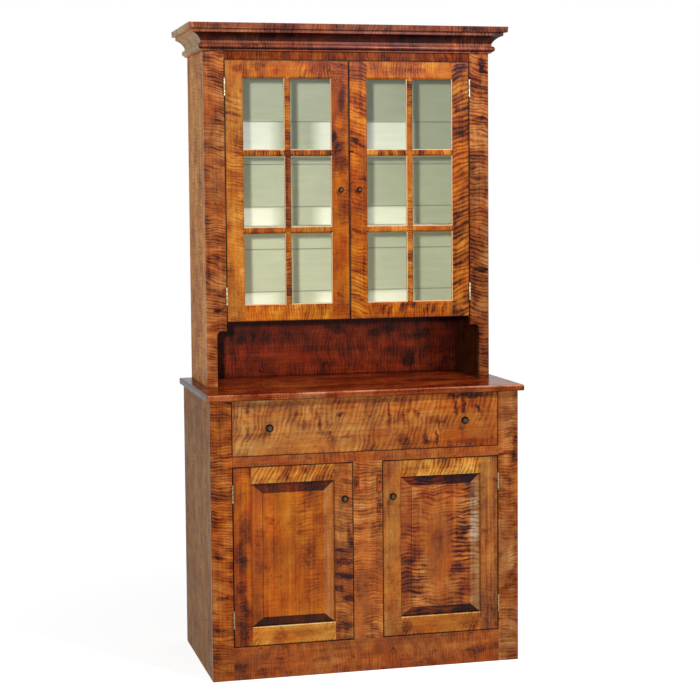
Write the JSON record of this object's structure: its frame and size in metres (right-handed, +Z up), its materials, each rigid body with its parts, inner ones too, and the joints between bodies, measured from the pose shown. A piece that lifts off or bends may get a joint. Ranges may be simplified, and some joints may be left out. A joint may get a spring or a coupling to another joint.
{
  "type": "step back cupboard",
  "caption": "Tall wooden cupboard: a deep base with drawer and panelled doors, an open recess, and a shallower glazed upper case under a moulded crown.",
  "frame": {"origin": "on the floor, at the centre of the whole outline seen from above", "axes": "+X to the right seen from the front, +Y to the back, +Z up; the front faces -Y"},
  "size_m": [1.064, 0.558, 2.08],
  "materials": {
    "case_maple": "glossy reddish brown varnish over curly maple",
    "door_maple": "glossy golden orange varnish over curly maple",
    "counter_maple": "polished deep red brown varnish",
    "painted_interior": "pale sage paint, satin; bare varnished wood below the glazed part",
    "secondary_wood": "plain unfinished pale wood",
    "glass": "clear, slightly wavy",
    "hinge_brass": "dull aged brass",
    "dark_bronze": "dark oil-rubbed bronze"
  },
  "bodies": {
    "case": {"base_back_boards": "secondary_wood", "base_bottom_board": "secondary_wood", "base_bottom_rail": "case_maple", "base_centre_stile": "case_maple", "base_drawer_rail": "case_maple", "base_shelf": "secondary_wood", "base_side_left": "case_maple", "base_side_right": "case_maple", "base_stile_left": "case_maple", "base_stile_right": "case_maple", "counter_top": "counter_maple", "crown_front": "case_maple", "crown_left": "case_maple", "crown_right": "case_maple", "drawer_runner_left": "secondary_wood", "drawer_runner_right": "secondary_wood", "lower_case_hardware": "dark_bronze", "upper_back_boards": "painted_interior", "upper_bottom_board": "painted_interior", "upper_case_hinges": "hinge_brass", "upper_shelf_high": "painted_interior", "upper_shelf_low": "painted_interior", "upper_side_left": "case_maple", "upper_side_right": "case_maple", "upper_stile_left": "case_maple", "upper_stile_right": "case_maple", "upper_top_board": "secondary_wood", "upper_top_rail": "case_maple"},
    "upper_left_door": {"upper_left_door_glass": "glass", "upper_left_door_hardware": "dark_bronze", "upper_left_door_hinge_stile": "door_maple", "upper_left_door_lock_stile": "door_maple", "upper_left_door_muntins": "door_maple", "upper_left_door_rails": "door_maple"},
    "upper_right_door": {"upper_right_door_glass": "glass", "upper_right_door_hardware": "dark_bronze", "upper_right_door_hinge_stile": "door_maple", "upper_right_door_lock_stile": "door_maple", "upper_right_door_muntins": "door_maple", "upper_right_door_rails": "door_maple"},
    "lower_left_door": {"lower_left_door_hardware": "dark_bronze", "lower_left_door_hinge_stile": "door_maple", "lower_left_door_lock_stile": "door_maple", "lower_left_door_panel": "door_maple", "lower_left_door_rails": "door_maple"},
    "lower_right_door": {"lower_right_door_hardware": "dark_bronze", "lower_right_door_hinge_stile": "door_maple", "lower_right_door_lock_stile": "door_maple", "lower_right_door_panel": "door_maple", "lower_right_door_rails": "door_maple"},
    "drawer": {"drawer_back": "secondary_wood", "drawer_bottom": "secondary_wood", "drawer_front": "door_maple", "drawer_knobs": "dark_bronze", "drawer_side_left": "secondary_wood", "drawer_side_right": "secondary_wood"},
    "left_turn_button": {"turn_button_left": "door_maple"},
    "right_turn_button": {"turn_button_right": "door_maple"}
  },
  "joints": [
    {"name": "upper_left_door_swing", "type": "hinge", "parent": "case", "child": "upper_left_door", "pos_m": [-0.412, -0.0505, 1.5445], "axis": [0, 0, -1], "range_deg": [0, 170]},
    {"name": "upper_right_door_swing", "type": "hinge", "parent": "case", "child": "upper_right_door", "pos_m": [0.412, -0.0505, 1.5445], "axis": [0, 0, 1], "range_deg": [0, 170]},
    {"name": "lower_left_door_swing", "type": "hinge", "parent": "case", "child": "lower_left_door", "pos_m": [-0.439, -0.2585, 0.393], "axis": [0, 0, -1], "range_deg": [0, 170]},
    {"name": "lower_right_door_swing", "type": "hinge", "parent": "case", "child": "lower_right_door", "pos_m": [0.439, -0.2585, 0.393], "axis": [0, 0, 1], "range_deg": [0, 170]},
    {"name": "drawer_slide", "type": "slide", "parent": "case", "child": "drawer", "axis": [0, -1, 0], "range_m": [0, 0.38]},
    {"name": "left_button_turn", "type": "hinge", "parent": "case", "child": "left_turn_button", "pos_m": [-0.03805, -0.255, 0.6125], "axis": [0, 1, 0], "continuous": true},
    {"name": "right_button_turn", "type": "hinge", "parent": "case", "child": "right_turn_button", "pos_m": [0.03805, -0.255, 0.6125], "axis": [0, -1, 0], "continuous": true}
  ]
}
